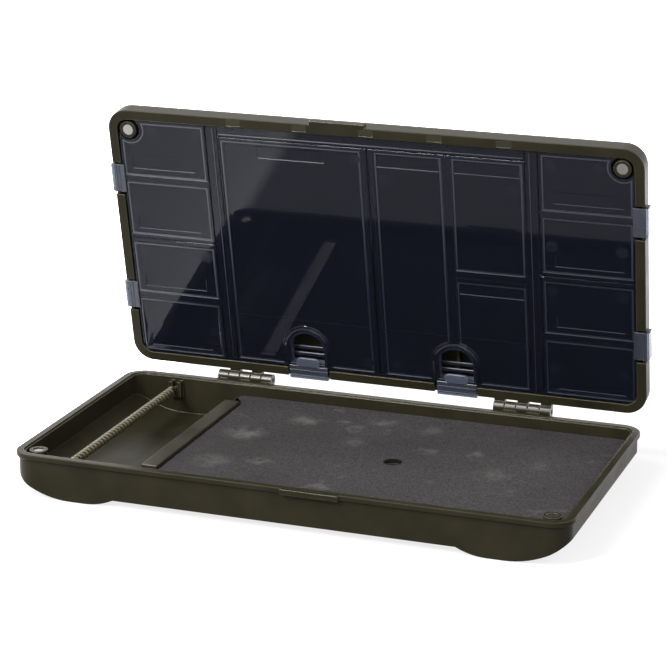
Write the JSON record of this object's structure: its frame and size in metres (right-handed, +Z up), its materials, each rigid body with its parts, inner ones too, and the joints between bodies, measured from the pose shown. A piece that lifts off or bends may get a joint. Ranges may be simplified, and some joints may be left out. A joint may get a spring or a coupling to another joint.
{
  "type": "fishing rig box",
  "caption": "Shallow fishing rig box: tray with a rig spring and a lift-out foam board, and a hinged lid of compartments under latched smoke-clear covers.",
  "frame": {"origin": "middle of the underside of the whole open object, at the level of the feet", "axes": "+X to the user's right along the hinge, +Y from the user to the lid, +Z up"},
  "size_m": [0.3638, 0.206, 0.2183],
  "materials": {
    "shell": "satin, fine moulded grain",
    "board": "satin",
    "foam": "matte closed-cell foam",
    "clear": "polished, smoke clear",
    "spring": "satin khaki coating",
    "magnet": "nickel plated",
    "pin": "drawn"
  },
  "bodies": {
    "base": {"base_shell": "shell", "rig_spring": "spring", "base_magnet_left": "magnet", "base_magnet_right": "magnet", "hinge_pin_left": "pin", "hinge_pin_right": "pin"},
    "board": {"board_plate": "board", "foam_pad": "foam"},
    "lid": {"lid_shell": "shell", "left_cell_walls": "shell", "centre_left_cell_walls": "shell", "centre_right_cell_walls": "shell", "right_cell_walls": "shell", "lid_magnet_left": "magnet", "lid_magnet_right": "magnet", "left_hinge_strip": "clear", "centre_hinge_strip": "clear", "right_hinge_strip": "clear"},
    "left_upper_cover": {"left_upper_cover": "clear"},
    "left_lower_cover": {"left_lower_cover": "clear"},
    "centre_left_cover": {"centre_left_cover": "clear"},
    "centre_right_cover": {"centre_right_cover": "clear"},
    "right_upper_cover": {"right_upper_cover": "clear"},
    "right_lower_cover": {"right_lower_cover": "clear"}
  },
  "joints": [
    {"name": "lid_hinge", "type": "hinge", "parent": "base", "child": "lid", "pos_m": [0, 0.08957, 0.0286], "axis": [1, 0, 0], "range_deg": [-101, 79]},
    {"name": "centre_left_cover_hinge", "type": "hinge", "parent": "lid", "child": "centre_left_cover", "pos_m": [-0.05, 0.05695, 0.20166], "axis": [1, 0, 0], "range_deg": [-100, 0]},
    {"name": "centre_right_cover_hinge", "type": "hinge", "parent": "lid", "child": "centre_right_cover", "pos_m": [0.05, 0.05695, 0.20166], "axis": [1, 0, 0], "range_deg": [-100, 0]},
    {"name": "left_upper_cover_hinge", "type": "hinge", "parent": "lid", "child": "left_upper_cover", "pos_m": [-0.1117, 0.06361, 0.1674], "axis": [0, 0.1908, -0.9816], "range_deg": [-96, 0]},
    {"name": "left_lower_cover_hinge", "type": "hinge", "parent": "lid", "child": "left_lower_cover", "pos_m": [-0.1117, 0.08009, 0.08258], "axis": [0, 0.1908, -0.9816], "range_deg": [-96, 0]},
    {"name": "right_upper_cover_hinge", "type": "hinge", "parent": "lid", "child": "right_upper_cover", "pos_m": [0.1117, 0.06361, 0.1674], "axis": [0, -0.1908, 0.9816], "range_deg": [-96, 0]},
    {"name": "right_lower_cover_hinge", "type": "hinge", "parent": "lid", "child": "right_lower_cover", "pos_m": [0.1117, 0.08009, 0.08258], "axis": [0, -0.1908, 0.9816], "range_deg": [-96, 0]},
    {"name": "board_lift", "type": "slide", "parent": "base", "child": "board", "axis": [0, 0, -1], "range_m": [-0.03, 0]}
  ]
}
